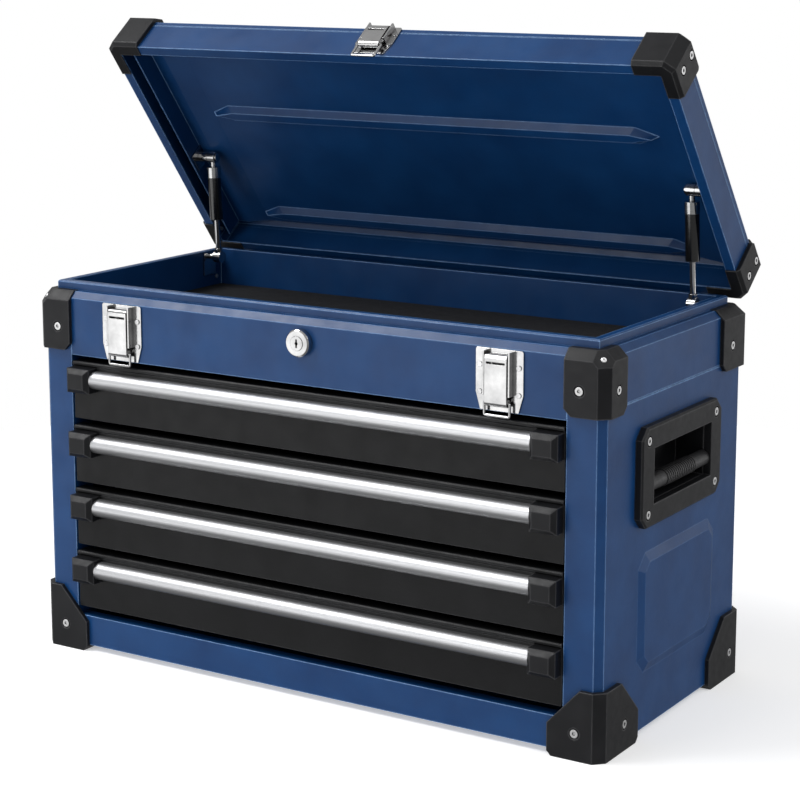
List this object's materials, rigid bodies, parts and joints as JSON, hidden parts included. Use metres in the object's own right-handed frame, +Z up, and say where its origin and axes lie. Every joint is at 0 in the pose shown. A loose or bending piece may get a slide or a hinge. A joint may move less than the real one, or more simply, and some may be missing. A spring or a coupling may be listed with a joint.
{
  "type": "portable tool box with drawers",
  "caption": "Blue sheet-metal tool box with an open sprung lid, drawers with bar pulls, side handles and black corner guards.",
  "frame": {"origin": "centre of the bounding box at the surface the box stands on, lid open", "axes": "+X to the box's right side as seen from the front, +Y to the hinge side, +Z up"},
  "size_m": [0.566, 0.3022, 0.5567],
  "materials": {
    "blue_paint": "satin powder coat",
    "charcoal_paint": "satin powder coat",
    "strut_paint": "gloss",
    "black_plastic": "fine grain",
    "grip_rubber": "matt",
    "foam": "matt foam",
    "slide_steel": "zinc plated",
    "bright_steel": "polished",
    "screw_steel": "zinc plated",
    "bar_aluminium": "satin anodised"
  },
  "bodies": {
    "cabinet": {"right_side_panel": "blue_paint", "left_side_panel": "blue_paint", "back_panel": "blue_paint", "front_top_panel": "blue_paint", "bottom_pan": "blue_paint", "rim_frame": "blue_paint", "tray_floor": "blue_paint", "foam_mat": "foam", "front_top_guards": "black_plastic", "rear_top_guards": "black_plastic", "front_bottom_guards": "black_plastic", "rear_bottom_guards": "black_plastic", "body_screws": "screw_steel", "handle_frames": "black_plastic", "handle_cups": "black_plastic", "handle_grips": "grip_rubber", "cabinet_slides": "slide_steel", "latch_plates": "bright_steel", "body_rivets": "screw_steel", "lock_barrel": "bright_steel", "hinge_body_leaf": "blue_paint", "hinge_pin": "screw_steel", "body_strut_brackets": "bright_steel"},
    "lid": {"lid_shell": "blue_paint", "lid_inner_panel": "blue_paint", "lid_front_guards": "black_plastic", "lid_rear_guards": "black_plastic", "lid_screws": "screw_steel", "hinge_lid_leaf": "blue_paint", "catch_plate": "bright_steel", "lid_strut_brackets": "bright_steel"},
    "lock_plug": {"lock_cylinder": "bright_steel"},
    "catch_lever": {"catch_lever": "bright_steel"},
    "catch_bail": {"catch_bail": "bright_steel"},
    "right_strut_tube": {"right_strut_tube": "strut_paint", "right_strut_collar": "bright_steel"},
    "right_strut_rod": {"right_strut_rod": "bright_steel"},
    "right_latch_lever": {"right_latch_lever": "bright_steel"},
    "right_latch_bail": {"right_latch_bail": "bright_steel"},
    "left_strut_tube": {"left_strut_tube": "strut_paint", "left_strut_collar": "bright_steel"},
    "left_strut_rod": {"left_strut_rod": "bright_steel"},
    "left_latch_lever": {"left_latch_lever": "bright_steel"},
    "left_latch_bail": {"left_latch_bail": "bright_steel"},
    "drawer_1": {"drawer_1_tray": "charcoal_paint", "drawer_1_bar": "bar_aluminium", "drawer_1_caps": "black_plastic", "drawer_1_slides": "slide_steel"},
    "drawer_2": {"drawer_2_tray": "charcoal_paint", "drawer_2_bar": "bar_aluminium", "drawer_2_caps": "black_plastic", "drawer_2_slides": "slide_steel"},
    "drawer_3": {"drawer_3_tray": "charcoal_paint", "drawer_3_bar": "bar_aluminium", "drawer_3_caps": "black_plastic", "drawer_3_slides": "slide_steel"},
    "drawer_4": {"drawer_4_tray": "charcoal_paint", "drawer_4_bar": "bar_aluminium", "drawer_4_caps": "black_plastic", "drawer_4_slides": "slide_steel"}
  },
  "joints": [
    {"name": "lid_hinge", "type": "hinge", "parent": "cabinet", "child": "lid", "pos_m": [0, 0.1217, 0.326], "axis": [-1, 0, 0], "range_deg": [-52, 0]},
    {"name": "lock_turn", "type": "hinge", "parent": "cabinet", "child": "lock_plug", "pos_m": [0, -0.13759, 0.3035], "axis": [0, -1, 0], "range_deg": [0, 90]},
    {"name": "catch_lever_lift", "type": "hinge", "parent": "lid", "child": "catch_lever", "pos_m": [0, -0.01837, 0.55158], "axis": [-1, 0, 0], "range_deg": [0, 110]},
    {"name": "catch_bail_swing", "type": "hinge", "parent": "catch_lever", "child": "catch_bail", "pos_m": [0, -0.03334, 0.53988], "axis": [-1, 0, 0], "range_deg": [0, 90]},
    {"name": "right_strut_swing", "type": "hinge", "parent": "lid", "child": "right_strut_tube", "pos_m": [0.2465, 0.0744, 0.42229], "axis": [-1, 0, 0], "range_deg": [-15.01, 0]},
    {"name": "right_strut_stroke", "type": "slide", "parent": "right_strut_tube", "child": "right_strut_rod", "axis": [0, -0.0757, 0.9971], "range_m": [0, 0.02799]},
    {"name": "right_latch_lift", "type": "hinge", "parent": "cabinet", "child": "right_latch_lever", "pos_m": [0.186, -0.1423, 0.311], "axis": [-1, 0, 0], "range_deg": [0, 110]},
    {"name": "right_bail_swing", "type": "hinge", "parent": "right_latch_lever", "child": "right_latch_bail", "pos_m": [0.186, -0.1423, 0.276], "axis": [-1, 0, 0], "range_deg": [0, 90]},
    {"name": "left_strut_swing", "type": "hinge", "parent": "lid", "child": "left_strut_tube", "pos_m": [-0.2465, 0.0744, 0.42229], "axis": [-1, 0, 0], "range_deg": [-15.01, 0]},
    {"name": "left_strut_stroke", "type": "slide", "parent": "left_strut_tube", "child": "left_strut_rod", "axis": [0, -0.0757, 0.9971], "range_m": [0, 0.02799]},
    {"name": "left_latch_lift", "type": "hinge", "parent": "cabinet", "child": "left_latch_lever", "pos_m": [-0.186, -0.1423, 0.311], "axis": [-1, 0, 0], "range_deg": [0, 110]},
    {"name": "left_bail_swing", "type": "hinge", "parent": "left_latch_lever", "child": "left_latch_bail", "pos_m": [-0.186, -0.1423, 0.276], "axis": [-1, 0, 0], "range_deg": [0, 90]},
    {"name": "drawer_1_slide", "type": "slide", "parent": "cabinet", "child": "drawer_1", "axis": [0, -1, 0], "range_m": [0, 0.19]},
    {"name": "drawer_2_slide", "type": "slide", "parent": "cabinet", "child": "drawer_2", "axis": [0, -1, 0], "range_m": [0, 0.19]},
    {"name": "drawer_3_slide", "type": "slide", "parent": "cabinet", "child": "drawer_3", "axis": [0, -1, 0], "range_m": [0, 0.19]},
    {"name": "drawer_4_slide", "type": "slide", "parent": "cabinet", "child": "drawer_4", "axis": [0, -1, 0], "range_m": [0, 0.19]}
  ],
  "couplings": [
    {"joint": "right_strut_swing", "follows": "lid_hinge", "ratio": 0.2877},
    {"joint": "right_strut_stroke", "follows": "lid_hinge", "m_per_rad": -0.030786},
    {"joint": "left_strut_swing", "follows": "lid_hinge", "ratio": 0.2877},
    {"joint": "left_strut_stroke", "follows": "lid_hinge", "m_per_rad": -0.030786}
  ]
}
